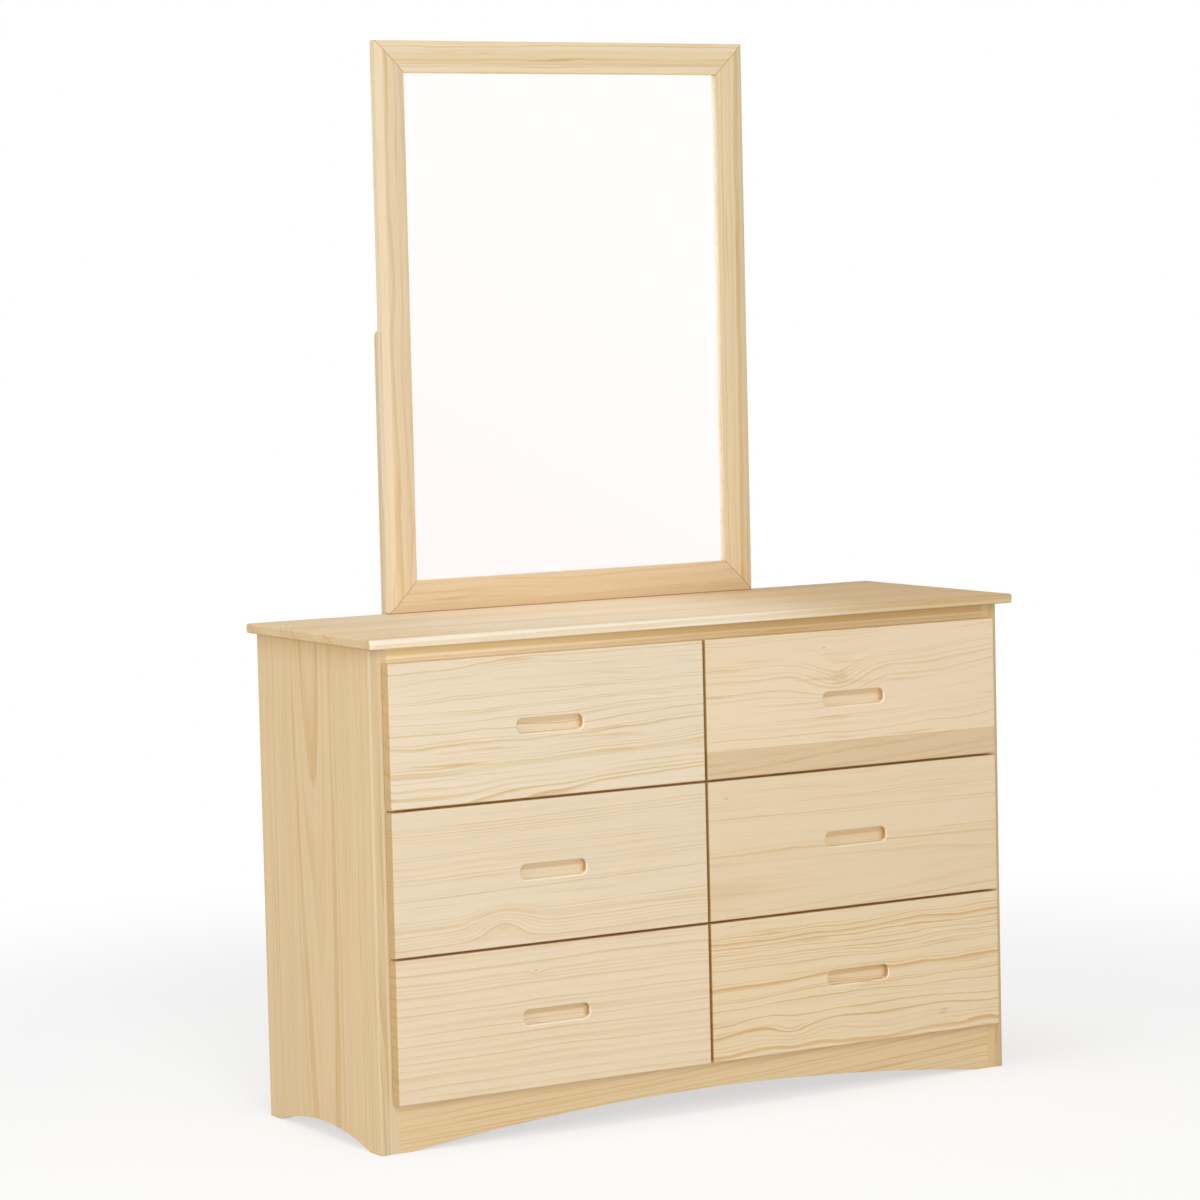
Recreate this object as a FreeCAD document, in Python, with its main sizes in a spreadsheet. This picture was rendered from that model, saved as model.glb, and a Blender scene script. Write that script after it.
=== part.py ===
import FreeCAD, Part
import Sketcher
import math
import os
import re

# Pine dresser with six overlaid drawers and a fixed mirror.
# X runs to the viewer's right, Y to the back, Z up. The origin is the middle of the
# footprint on the floor. All sizes are millimetres.
SIZES = {
    # Top board
    "top_width": 1200,
    "top_depth": 425,
    "top_thickness": 15,
    "top_corner_radius": 5,
    "top_edge_radius": 3,
    "side_overhang": 12,
    "top_past_fronts": 9,
    # Side panels, partition and back
    "panel_thickness": 16,
    "partition_thickness": 16,
    "back_thickness": 12,
    "back_inset": 8,
    "back_lift": 60,
    "panel_edge_radius": 4,
    "front_foot": 37,
    "rear_foot": 34,
    "side_arch_rise": 23,
    "tongue_thickness": 8,
    "tongue_height": 6,
    "tongue_setback": 20,
    # Face frame
    "frame_thickness": 18,
    "frame_show": 22,
    "stile_width": 15,
    "top_rail_show": 24,
    "apron_show": 77.5,
    "apron_foot": 25,
    "apron_arch_rise": 34,
    "arch_blend_radius": 60,
    "rail_overlap": 12,
    "tenon_length": 9,
    "tenon_thickness": 8,
    "tenon_shoulder": 6,
    "glue_gap": 0.5,
    # Drawer fronts
    "front_height": 223.5,
    "front_thickness": 20,
    "front_stand_off": 2,
    "front_edge_radius": 2,
    "row_gap": 4,
    "column_gap": 4.5,
    # Routed finger pulls
    "pull_width": 118,
    "pull_height": 24,
    "pull_depth": 12,
    "pull_corner_radius": 9,
    "pull_lip": 1.5,
    # Drawer boxes
    "box_back_room": 24,
    "box_lift": 5,
    "box_headroom": 14.5,
    "box_board": 14,
    "box_back_board": 12,
    "side_dado": 8,
    "back_dado": 4,
    "back_setback": 10,
    "bottom_thickness": 4,
    "bottom_groove": 5,
    "bottom_rise": 10,
    "bottom_play": 0.5,
    # Wooden runners that the grooves in the drawer sides ride on
    "side_play": 1.5,
    "runner_back_room": 20,
    "runner_height": 14,
    "runner_housing": 3,
    "runner_reach": 6,
    "runner_setback": 2,
    "groove_depth": 7,
    "stop_clearance": 0.5,
    "rest_clearance": 0.3,
    "under_clearance": 0.5,
    # Mirror frame, glass and backing
    "mirror_width": 700,
    "mirror_height": 927,
    "mirror_thickness": 18,
    "member_width": 52,
    "mirror_corner_radius": 3,
    "bevel_width": 13,
    "bevel_drop": 3,
    "lip_width": 15,
    "lip_step": 1,
    "lip_slope": 1,
    "rabbet_width": 9,
    "rabbet_depth": 9,
    "glass_thickness": 4,
    "glass_play": 1,
    "backing_thickness": 4,
    # Mirror posts
    "post_width": 45,
    "post_thickness": 18,
    "post_length": 900,
    "post_above_top": 460,
    "post_inset": 3,
    "post_corner_radius": 8,
    # Countersunk screws
    "screw_head_diameter": 8,
    "screw_head_height": 3,
    "screw_shank_diameter": 4,
    "screw_clearance": 0.15,
    "screw_past_post": 10,
    "post_screw_inset": 40,
    "mirror_screw_rise": 60,
    "post_screw_drop": 40,
}

# Names for lengths that follow from the sizes above.
DERIVED = {
    "carcass_width": "top_width - 2 * side_overhang",
    "depth_overall": "top_depth + post_thickness",
    "front_plane": "-depth_overall / 2 + top_past_fronts",
    "front_rear": "front_plane + front_thickness",
    "frame_plane": "front_rear + front_stand_off",
    "frame_rear": "frame_plane + frame_thickness",
    "top_rear": "-depth_overall / 2 + top_depth",
    "panel_rear": "top_rear - back_thickness",
    "panel_depth": "panel_rear - frame_plane",
    "rows_height": "3 * front_height + 2 * row_gap",
    "panel_height": "apron_show + rows_height + top_rail_show",
    "top_surface": "panel_height + top_thickness",
    "row_pitch": "front_height + row_gap",
    "column_edge": "carcass_width / 2 - frame_show",
    "front_width": "column_edge - column_gap / 2",
    "frame_half": "carcass_width / 2 - panel_thickness",
    "opening_half": "frame_half - stile_width",
    "centre_stile_width": "partition_thickness + 2 * stile_width",
    "rail_length": "2 * opening_half",
    "divider_length": "opening_half - centre_stile_width / 2",
    "divider_height": "row_gap + 2 * rail_overlap",
    "top_rail_height": "top_rail_show + rail_overlap",
    "apron_height": "apron_show + rail_overlap",
    "centre_stile_height": "panel_height - top_rail_height - apron_height",
    "mortise_depth": "tenon_length + glue_gap",
    "box_outer": "opening_half - side_play",
    "box_inner": "centre_stile_width / 2 + side_play",
    "box_width": "box_outer - box_inner",
    "box_gap": "box_width - 2 * box_board",
    "box_depth": "panel_rear - box_back_room - front_rear",
    "box_side_length": "box_depth + side_dado",
    "box_in_front": "rail_overlap + box_lift",
    "box_height": "row_pitch - divider_height - box_lift - box_headroom",
    "outer_margin": "column_edge - box_outer",
    "inner_margin": "box_inner - column_gap / 2",
    "groove_height": "runner_height + rest_clearance + under_clearance",
    "groove_rise": "(box_height - groove_height) / 2",
    "runner_width": "runner_housing + stile_width + side_play + runner_reach",
    "runner_start": "frame_rear + runner_setback",
    "runner_length": "panel_rear - runner_back_room - runner_start",
    "groove_stop": "runner_start - stop_clearance - front_rear + side_dado",
    "post_screw_length": "post_thickness + screw_past_post",
    "mirror_front": "top_rear - mirror_thickness",
    "mirror_gap_width": "mirror_width - 2 * member_width",
    "mirror_gap_height": "mirror_height - 2 * member_width",
    "sheet_lap": "rabbet_width - glass_play",
    "post_bottom": "top_surface + post_above_top - post_length",
}

ROWS = ("top", "middle", "bottom")
COLUMNS = ("left", "right")
TOLERANCE_SHARE = 1e-6

doc = FreeCAD.newDocument("dresser")
sheet = doc.addObject("Spreadsheet::Sheet", "Sizes")
for line, (name, size) in enumerate(SIZES.items(), 1):
    sheet.set(f"A{line}", name)
    sheet.set(f"B{line}", str(size))
    sheet.setAlias(f"B{line}", name)
doc.recompute()


def formula(text):
    """Writes a text in size names as an expression on the sheet."""
    def expand(found):
        word = found.group()
        if word in SIZES:
            return f"Sizes.{word}"
        if word in DERIVED:
            return f"({formula(DERIVED[word])})"
        return word
    return re.sub(r"[a-z_]+", expand, text)


def number(text):
    """The value in millimetres of a text in size names."""
    return float(sheet.evalExpression(formula(text)))


def bind(thing, **texts):
    for prop, text in texts.items():
        thing.setExpression(prop, formula(text))


def place(thing, x="0", y="0", z="0", turn=0, axis=(0, 0, 1)):
    """Puts a piece at a point given in size names, turned about one axis in degrees."""
    thing.Placement = FreeCAD.Placement(FreeCAD.Vector(), FreeCAD.Rotation(FreeCAD.Vector(*axis), turn))
    for letter, text in zip("xyz", (x, y, z)):
        thing.setExpression(f"Placement.Base.{letter}", formula(text))
    return thing


def box(label, size, corner=("0", "0", "0")):
    """A plain board or a square cutter with its lower left front corner at a point."""
    thing = doc.addObject("Part::Box", label)
    thing.Label = label
    bind(thing, Length=size[0], Width=size[1], Height=size[2])
    return place(thing, *corner)


def fuse(label, things):
    thing = doc.addObject("Part::MultiFuse", label)
    thing.Label = label
    thing.Shapes = things
    thing.Refine = True
    return thing


def cut(label, blank, cutters):
    """Takes cutters out of a blank."""
    tool = cutters[0] if len(cutters) == 1 else fuse(f"{label} cutters", cutters)
    thing = doc.addObject("Part::Cut", label)
    thing.Label = label
    thing.Base = blank
    thing.Tool = tool
    thing.Refine = True
    return thing


def new_body(label):
    thing = doc.addObject("PartDesign::Body", label)
    thing.Label = label
    return thing


def sketch_on(body, plane, **offsets):
    """A sketch on one of the body's own planes, moved by texts for the offset's x, y or z."""
    sketch = body.newObject("Sketcher::SketchObject", "Sketch")
    support = [part for part in body.Origin.OriginFeatures if part.Role == plane][0]
    sketch.AttachmentSupport = [(support, "")]
    sketch.MapMode = "FlatFace"
    for letter, text in offsets.items():
        sketch.setExpression(f"AttachmentOffset.Base.{letter}", formula(text))
    return sketch


def hold_point(sketch, index, spot, corner):
    """Ties one end of a line to its two coordinates, measured from the sketch's origin."""
    ties = (("DistanceX", -2, corner[0]), ("DistanceY", -1, corner[1]))
    for kind, axis, text in ties:
        if text == "0":
            sketch.addConstraint(Sketcher.Constraint("PointOnObject", index, spot, axis))
        else:
            tie = sketch.addConstraint(Sketcher.Constraint(kind, -1, 1, index, spot, number(text)))
            sketch.setExpression(f"Constraints[{tie}]", formula(text))


def outline(sketch, corners, arcs=None):
    """A closed outline through corners in size names. An entry of arcs, by the number of the
    corner where it starts, gives the radius and the centre of that side."""
    arcs = arcs or {}
    points = [FreeCAD.Vector(number(x), number(y), 0) for x, y in corners]
    first = sketch.GeometryCount
    ends = []
    for index, start in enumerate(points):
        finish = points[(index + 1) % len(points)]
        if index not in arcs:
            sketch.addGeometry(Part.LineSegment(start, finish))
            ends.append((1, 2))
            continue
        radius, across, along = arcs[index]
        centre = FreeCAD.Vector(number(across), number(along), 0)
        angles = [math.atan2(point.y - centre.y, point.x - centre.x) for point in (start, finish)]
        forward = (angles[1] - angles[0]) % math.tau < math.pi
        low, high = angles if forward else reversed(angles)
        circle = Part.Circle(centre, FreeCAD.Vector(0, 0, 1), number(radius))
        sketch.addGeometry(Part.ArcOfCircle(circle, low, high))
        ends.append((1, 2) if forward else (2, 1))
    for index in range(len(points)):
        later = (index + 1) % len(points)
        tie = Sketcher.Constraint("Coincident", first + index, ends[index][1], first + later, ends[later][0])
        sketch.addConstraint(tie)
        hold_point(sketch, first + index, ends[index][0], corners[index])
    for index, (radius, across, along) in arcs.items():
        tie = sketch.addConstraint(Sketcher.Constraint("Radius", first + index, number(radius)))
        sketch.setExpression(f"Constraints[{tie}]", formula(radius))


def rectangle(sketch, left, low, right, high):
    outline(sketch, [(left, low), (right, low), (right, high), (left, high)])


def pad(body, sketch, length, reverse=False):
    feature = body.newObject("PartDesign::Pad", "Pad")
    feature.Profile = sketch
    feature.Reversed = reverse
    bind(feature, Length=length)
    body.Tip = feature
    doc.recompute()
    return feature


def pocket(body, sketch, depth, reverse=False):
    """Cuts a sketch into the body and makes sure that it took something away."""
    before = body.Shape.Volume
    feature = body.newObject("PartDesign::Pocket", "Pocket")
    feature.Profile = sketch
    feature.Reversed = reverse
    bind(feature, Length=depth)
    body.Tip = feature
    doc.recompute()
    if body.Shape.Volume >= before:
        raise RuntimeError(f"{body.Label}: a pocket cut nothing")
    return feature


def ease(body, kind, size, chosen):
    """Fillets or chamfers the edges for which chosen(middle, direction) is true."""
    names = []
    for index, edge in enumerate(body.Shape.Edges, 1):
        if edge.Degenerated:
            continue
        middle = edge.valueAt((edge.FirstParameter + edge.LastParameter) / 2)
        direction = edge.tangentAt((edge.FirstParameter + edge.LastParameter) / 2)
        if chosen(middle, direction):
            names.append(f"Edge{index}")
    if not names:
        raise RuntimeError(f"{body.Label}: no edge to ease")
    tip = body.Tip
    feature = body.newObject(f"PartDesign::{kind}", kind)
    feature.Base = (tip, names)
    feature.setExpression({"Fillet": "Radius", "Chamfer": "Size"}[kind], formula(size))
    body.Tip = feature
    doc.recompute()


def near(value, text):
    """True where a coordinate is at a place given in size names."""
    return abs(value - number(text)) < TOLERANCE_SHARE * number("top_width")


def arch_radius(span, rise):
    """The radius of a circular arch, from its span and its rise."""
    return f"(({span}) * ({span}) / 4 + ({rise}) * ({rise})) / (2 * ({rise}))"


# Screws: a countersunk head on a plain shank. The holes are the same shape with a
# clearance all round. Both point along the direction that the screw is driven in.
def screw_shape(length, room, start, direction):
    head_radius = number("screw_head_diameter") / 2 + room
    shank_radius = number("screw_shank_diameter") / 2 + room
    head_height = number("screw_head_height")
    head = Part.makeCone(head_radius, shank_radius, head_height)
    shank = Part.makeCylinder(shank_radius, number(length) + room)
    shape = head.fuse(shank).removeSplitter()
    turn = FreeCAD.Rotation(FreeCAD.Vector(0, 0, 1), FreeCAD.Vector(*direction))
    shape.Placement = FreeCAD.Placement(FreeCAD.Vector(*start), turn)
    return shape


def screw_group(label, length, seats, room="0"):
    """One node of equal screws, or one cutter for their holes. A seat is a point and a direction."""
    shapes = [screw_shape(length, number(room), point, direction) for point, direction in seats]
    thing = doc.addObject("Part::Feature", label)
    thing.Label = label
    thing.Shape = Part.makeCompound(shapes)
    thing.Placement = FreeCAD.Placement()
    return thing


def row_base(row):
    """The height of the lower edge of a row's drawer fronts, the top row being number 0."""
    return f"apron_show + {len(ROWS) - 1 - row} * row_pitch"


def post_screw_seats():
    """Where the post screws start and point: four in each post, two of them into the mirror frame."""
    across = number("mirror_width / 2 - post_inset - post_width / 2")
    heights = (
        "top_surface + post_above_top - post_screw_inset",
        "top_surface + mirror_screw_rise",
        "top_surface - top_thickness - post_screw_drop",
        "post_bottom + post_screw_inset",
    )
    behind = number("top_rear + post_thickness")
    return [((side * across, behind, number(height)), (0, -1, 0)) for side in (-1, 1) for height in heights]


post_holes = screw_group("post screw holes", "post_screw_length", post_screw_seats(), "screw_clearance")
pieces = []


# Top board: edge-glued pine, rounded at its front corners and along its front and side
# edges, with three stopped grooves underneath for the tongues of the sides and partition.
def make_top():
    body = new_body("top_panel blank")
    base = sketch_on(body, "XY_Plane")
    rectangle(base, "0", "0", "top_width", "top_depth")
    pad(body, base, "top_thickness")
    ease(body, "Fillet", "top_corner_radius", lambda middle, way: abs(way.z) > 0.9 and near(middle.y, "0"))
    ease(
        body,
        "Fillet",
        "top_edge_radius",
        lambda middle, way: (near(middle.z, "0") or near(middle.z, "top_thickness"))
        and not near(middle.y, "top_depth"),
    )
    grooves = sketch_on(body, "XY_Plane")
    setback = "frame_plane + depth_overall / 2 + tongue_setback"
    for centre in ("side_overhang + panel_thickness / 2", "top_width / 2",
                   "top_width - side_overhang - panel_thickness / 2"):
        rectangle(
            grooves,
            f"{centre} - tongue_thickness / 2",
            setback,
            f"{centre} + tongue_thickness / 2",
            "panel_rear + depth_overall / 2 - tongue_setback",
        )
    pocket(body, grooves, "tongue_height + glue_gap", reverse=True)
    place(body, "-top_width / 2", "-depth_overall / 2", "panel_height")
    return body


# Side panel: upright boards down to the floor, cut to an arch between a front and a rear
# foot, with a tongue along the top. Its outer front edge is rounded.
def make_side_panel(label, outer_is_left):
    body = new_body(f"{label} blank")
    face = sketch_on(body, "YZ_Plane")
    span = "panel_depth - front_foot - rear_foot"
    radius = arch_radius(span, "side_arch_rise")
    outline(
        face,
        [
            ("0", "0"),
            ("front_foot", "0"),
            ("panel_depth - rear_foot", "0"),
            ("panel_depth", "0"),
            ("panel_depth", "panel_height"),
            ("0", "panel_height"),
        ],
        {1: (radius, f"front_foot + ({span}) / 2", f"side_arch_rise - {radius}")},
    )
    pad(body, face, "panel_thickness")
    outer = "0" if outer_is_left else "panel_thickness"
    ease(
        body,
        "Fillet",
        "panel_edge_radius",
        lambda middle, way: abs(way.z) > 0.9 and near(middle.y, "0") and near(middle.x, outer),
    )
    tongue = sketch_on(body, "XY_Plane", z="panel_height")
    rectangle(
        tongue,
        "(panel_thickness - tongue_thickness) / 2",
        "tongue_setback",
        "(panel_thickness + tongue_thickness) / 2",
        "panel_depth - tongue_setback",
    )
    pad(body, tongue, "tongue_height")
    place(body, "-carcass_width / 2" if outer_is_left else "frame_half", "frame_plane")
    return body


# Partition: it carries the inner runners and stands between the centre stile and the back.
def make_partition():
    board = box(
        "centre_partition board",
        ("partition_thickness", "panel_rear - frame_rear", "panel_height - back_lift"),
        ("-partition_thickness / 2", "frame_rear", "back_lift"),
    )
    tongue = box(
        "centre_partition tongue",
        ("tongue_thickness", "panel_rear - frame_plane - 2 * tongue_setback", "tongue_height"),
        ("-tongue_thickness / 2", "frame_plane + tongue_setback", "panel_height"),
    )
    return fuse("centre_partition blank", [board, tongue])


# Back: one sheet on the rear edges of the sides, flush with the top board's rear edge.
def make_back():
    return box(
        "back_panel blank",
        ("carcass_width - 2 * back_inset", "back_thickness", "panel_height - back_lift"),
        ("-carcass_width / 2 + back_inset", "panel_rear", "back_lift"),
    )


def tenon_or_mortise(label, length, rail_height, corner):
    """The block of a rail's tenon, or of the mortise for it, centred in the frame's thickness."""
    x, z = corner
    return box(
        label,
        (length, "tenon_thickness", f"{rail_height} - 2 * tenon_shoulder"),
        (x, "(frame_thickness - tenon_thickness) / 2", f"{z} + tenon_shoulder"),
    )


def rail_levels():
    """Height and lower edge of each rail that ends in a stile."""
    levels = [("apron_height", "0"), ("top_rail_height", "panel_height - top_rail_height")]
    for row in range(len(ROWS) - 1):
        levels.append(("divider_height", f"{row_base(row)} - row_gap - rail_overlap"))
    return levels


# Stiles: uprights glued inside the side panels, mortised for the ends of the rails.
def make_stile(label, is_left):
    blank = box(f"{label} blank", ("stile_width", "frame_thickness", "panel_height"))
    start = "stile_width - mortise_depth" if is_left else "0"
    cutters = [
        tenon_or_mortise(f"{label} mortise", "mortise_depth", height, (start, low))
        for height, low in rail_levels()
    ]
    stile = cut(label, blank, cutters)
    return place(stile, "-frame_half" if is_left else "opening_half", "frame_plane")


# Centre stile: tenoned into the top rail and the apron, mortised on both sides for the
# rails between the rows.
def make_centre_stile():
    blank = box("centre_stile blank", ("centre_stile_width", "frame_thickness", "centre_stile_height"))
    tenons = [
        box(
            "centre_stile tenon",
            ("centre_stile_width - 2 * tenon_shoulder", "tenon_thickness", "tenon_length"),
            ("tenon_shoulder", "(frame_thickness - tenon_thickness) / 2", low),
        )
        for low in ("-tenon_length", "centre_stile_height")
    ]
    cutters = [
        tenon_or_mortise("centre_stile mortise", "mortise_depth", height, (start, f"{low} - apron_height"))
        for height, low in rail_levels()[2:]
        for start in ("0", "centre_stile_width - mortise_depth")
    ]
    stile = cut("centre_stile", fuse("centre_stile tenoned", [blank, *tenons]), cutters)
    return place(stile, "-centre_stile_width / 2", "frame_plane", "apron_height")


def stile_mortise(label, low):
    """The mortise in a long rail for the centre stile."""
    return box(
        label,
        ("centre_stile_width - 2 * tenon_shoulder", "tenon_thickness", "mortise_depth"),
        (
            "rail_length / 2 - centre_stile_width / 2 + tenon_shoulder",
            "(frame_thickness - tenon_thickness) / 2",
            low,
        ),
    )


def add_end_tenons(label, rail, length, height):
    tenons = [
        tenon_or_mortise(f"{label} tenon", "tenon_length", height, (start, "0"))
        for start in ("-tenon_length", length)
    ]
    return fuse(f"{label} tenoned", [rail, *tenons])


# Top rail: the strip that shows between the top board and the first row.
def make_top_rail():
    blank = box("top_rail blank", ("rail_length", "frame_thickness", "top_rail_height"))
    tenoned = add_end_tenons("top_rail", blank, "rail_length", "top_rail_height")
    rail = cut("top_rail", tenoned, [stile_mortise("top_rail mortise", "0")])
    return place(rail, "-opening_half", "frame_plane", "panel_height - top_rail_height")


# Apron: the bottom rail, cut to one long low arch between its two feet, with the corners
# where the arch meets the feet blended.
def make_apron():
    body = new_body("apron_rail blank")
    face = sketch_on(body, "XZ_Plane")
    span = "rail_length - 2 * apron_foot"
    radius = arch_radius(span, "apron_arch_rise")
    outline(
        face,
        [
            ("0", "0"),
            ("apron_foot", "0"),
            ("rail_length - apron_foot", "0"),
            ("rail_length", "0"),
            ("rail_length", "apron_height"),
            ("0", "apron_height"),
        ],
        {1: (radius, "rail_length / 2", f"apron_arch_rise - {radius}")},
    )
    pad(body, face, "frame_thickness", reverse=True)
    ease(
        body,
        "Fillet",
        "arch_blend_radius",
        lambda middle, way: abs(way.y) > 0.9 and near(middle.z, "0") and number("apron_foot") / 2
        < middle.x < number("rail_length - apron_foot / 2"),
    )
    tenoned = add_end_tenons("apron_rail", body, "rail_length", "apron_height")
    mortise = stile_mortise("apron_rail mortise", "apron_height - mortise_depth")
    return place(cut("apron_rail", tenoned, [mortise]), "-opening_half", "frame_plane")


# Divider rails: short rails between the rows, behind the gaps between the drawer fronts.
def make_divider(label, row, is_left):
    blank = box(f"{label} blank", ("divider_length", "frame_thickness", "divider_height"))
    tenons = [
        tenon_or_mortise(f"{label} tenon", "tenon_length", "divider_height", (start, "0"))
        for start in ("-tenon_length", "divider_length")
    ]
    start = "-opening_half" if is_left else "centre_stile_width / 2"
    low = f"{row_base(row)} - row_gap - rail_overlap"
    return place(fuse(label, [blank, *tenons]), start, "frame_plane", low)


# Runners: hardwood strips housed in the side panels and the partition, one pair for each
# drawer. They reach past the stiles into the grooves of the drawer sides.
def runner_strips(row, is_left):
    """The outer and the inner strip of one drawer."""
    size = ("runner_width", "runner_length", "runner_height")
    low = f"{row_base(row)} + box_in_front + groove_rise + under_clearance"
    edges = (
        ("-frame_half - runner_housing", "-partition_thickness / 2 + runner_housing - runner_width")
        if is_left
        else ("frame_half + runner_housing - runner_width", "partition_thickness / 2 - runner_housing")
    )
    return [box("runner strip", size, (edge, "runner_start", low)) for edge in edges]


# Drawer front: one board of pine that stands proud of the frame, rounded at its edges, with
# a finger pull routed into its face. Behind, it is grooved for the sides and the bottom.
def make_front(label, row, is_left):
    body = new_body(label)
    face = sketch_on(body, "XZ_Plane")
    rectangle(face, "0", "0", "front_width", "front_height")
    pad(body, face, "front_thickness", reverse=True)
    ease(body, "Fillet", "front_edge_radius", lambda middle, way: near(middle.y, "0"))
    left = "outer_margin" if is_left else "inner_margin"
    housings = sketch_on(body, "XZ_Plane", z="-front_thickness")
    for start in (left, f"{left} + box_width - box_board"):
        rectangle(housings, start, "box_in_front", f"{start} + box_board", "box_in_front + box_height")
    pocket(body, housings, "side_dado", reverse=True)
    groove = sketch_on(body, "XZ_Plane", z="-front_thickness")
    rectangle(
        groove,
        f"{left} + box_board",
        "box_in_front + bottom_rise",
        f"{left} + box_width - box_board",
        "box_in_front + bottom_rise + bottom_thickness",
    )
    pocket(body, groove, "bottom_groove + bottom_play", reverse=True)
    recess = sketch_on(body, "XZ_Plane")
    middle_x = "front_width / 2"
    middle_z = "front_height / 2"
    rectangle(
        recess,
        f"{middle_x} - pull_width / 2",
        f"{middle_z} - pull_height / 2",
        f"{middle_x} + pull_width / 2",
        f"{middle_z} + pull_height / 2",
    )
    pocket(body, recess, "pull_depth")

    def from_pull_centre(point):
        return abs(point.x - number("front_width / 2")), abs(point.z - number("front_height / 2"))

    def on_pull_corner(middle, way):
        across, along = from_pull_centre(middle)
        return near(across, "pull_width / 2") and near(along, "pull_height / 2") and abs(way.y) > 0.9

    def on_pull_lip(middle, way):
        across, along = from_pull_centre(middle)
        return near(middle.y, "0") and across < number("pull_width") and along < number("pull_height")

    ease(body, "Fillet", "pull_corner_radius", on_pull_corner)
    ease(body, "Chamfer", "pull_lip", on_pull_lip)
    start = "-column_edge" if is_left else "column_gap / 2"
    return place(body, start, "front_plane", row_base(row))


def box_start(is_left):
    """The left face of a column's drawer boxes."""
    return "-box_outer" if is_left else "box_inner"


# Drawer sides: a stopped groove outside for the runner, a groove inside for the bottom and
# a housing inside for the back.
def make_drawer_side(label, row, column_is_left, outer_is_left):
    blank = box(f"{label} blank", ("box_board", "box_side_length", "box_height"))
    runner_x = "0" if outer_is_left else "box_board - groove_depth"
    runner_groove = box(
        f"{label} runner groove",
        ("groove_depth", "box_side_length - groove_stop", "groove_height"),
        (runner_x, "groove_stop", "groove_rise"),
    )
    bottom_groove = box(
        f"{label} bottom groove",
        ("bottom_groove", "box_side_length", "bottom_thickness"),
        ("box_board - bottom_groove" if outer_is_left else "0", "0", "bottom_rise"),
    )
    housing = box(
        f"{label} back housing",
        ("back_dado", "box_back_board", "box_height - bottom_rise - bottom_thickness"),
        (
            "box_board - back_dado" if outer_is_left else "0",
            "box_side_length - back_setback - box_back_board",
            "bottom_rise + bottom_thickness",
        ),
    )
    side = cut(label, blank, [runner_groove, bottom_groove, housing])
    left = box_start(column_is_left)
    start = left if outer_is_left else f"{left} + box_width - box_board"
    return place(side, start, "front_rear - side_dado", f"{row_base(row)} + box_in_front")


# Drawer back: it stands on the bottom, between the sides.
def make_drawer_back(label, row, is_left):
    return box(
        label,
        ("box_gap + 2 * back_dado", "box_back_board", "box_height - bottom_rise - bottom_thickness"),
        (
            f"{box_start(is_left)} + box_board - back_dado",
            "front_rear + box_depth - back_setback - box_back_board",
            f"{row_base(row)} + box_in_front + bottom_rise + bottom_thickness",
        ),
    )


# Drawer bottom: plywood that slides into the grooves from behind, under the back.
def make_drawer_bottom(label, row, is_left):
    board = box(
        f"{label} board",
        ("box_gap + 2 * bottom_groove - 2 * bottom_play", "box_depth", "bottom_thickness"),
        (f"{box_start(is_left)} + box_board - bottom_groove + bottom_play", "0", "0"),
    )
    edge = box(
        f"{label} front edge",
        ("box_gap", "bottom_groove", "bottom_thickness"),
        (f"{box_start(is_left)} + box_board", "-bottom_groove", "0"),
    )
    low = f"{row_base(row)} + box_in_front + bottom_rise"
    return place(fuse(label, [board, edge]), "0", "front_rear", low)


# Mirror frame members: one moulding, with a bevel along the outer edge, a stepped lip at
# the glass and a rabbet behind it, mitred at both ends.
def make_mirror_member(label, length, x, z, turn):
    body = new_body(f"{label} blank")
    profile = sketch_on(body, "YZ_Plane")
    outline(
        profile,
        [
            ("bevel_drop", "0"),
            ("mirror_thickness", "0"),
            ("mirror_thickness", "member_width - rabbet_width"),
            ("mirror_thickness - rabbet_depth", "member_width - rabbet_width"),
            ("mirror_thickness - rabbet_depth", "member_width"),
            ("lip_step + lip_slope", "member_width"),
            ("lip_step", "member_width - lip_width"),
            ("0", "member_width - lip_width"),
            ("0", "bevel_width"),
        ],
    )
    pad(body, profile, length)
    bend = "mirror_corner_radius"
    tip = f"{bend} * (1 - sqrt(0.5))"
    near_end = sketch_on(body, "XZ_Plane")
    outline(
        near_end,
        [("0", "0"), (bend, "0"), (tip, tip), ("member_width", "member_width"), ("0", "member_width")],
        {1: (bend, bend, bend)},
    )
    pocket(body, near_end, "mirror_thickness")
    far_end = sketch_on(body, "XZ_Plane")
    outline(
        far_end,
        [
            (length, "0"),
            (length, "member_width"),
            (f"{length} - member_width", "member_width"),
            (f"{length} - {tip}", tip),
            (f"{length} - {bend}", "0"),
        ],
        {3: (bend, f"{length} - {bend}", bend)},
    )
    pocket(body, far_end, "mirror_thickness")
    place(body, x, "mirror_front", z, turn, (0, 1, 0))
    return cut(label, body, [post_holes])


# Glass and backing: both lie in the frame's rabbet, the glass in front.
def make_mirror_sheet(label, thickness, front):
    return box(
        label,
        ("mirror_gap_width + 2 * sheet_lap", thickness, "mirror_gap_height + 2 * sheet_lap"),
        ("-mirror_gap_width / 2 - sheet_lap", front, "top_surface + member_width - sheet_lap"),
    )


# Posts: two battens behind the mirror frame that run down the back of the dresser.
def make_post(label, is_left):
    body = new_body(f"{label} blank")
    face = sketch_on(body, "XY_Plane")
    rectangle(face, "0", "0", "post_width", "post_thickness")
    pad(body, face, "post_length")
    ease(
        body,
        "Fillet",
        "post_corner_radius",
        lambda middle, way: near(middle.z, "post_length") and abs(way.y) > 0.9,
    )
    start = "-mirror_width / 2 + post_inset" if is_left else "mirror_width / 2 - post_inset - post_width"
    place(body, start, "top_rear", "post_bottom")
    return body


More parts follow.
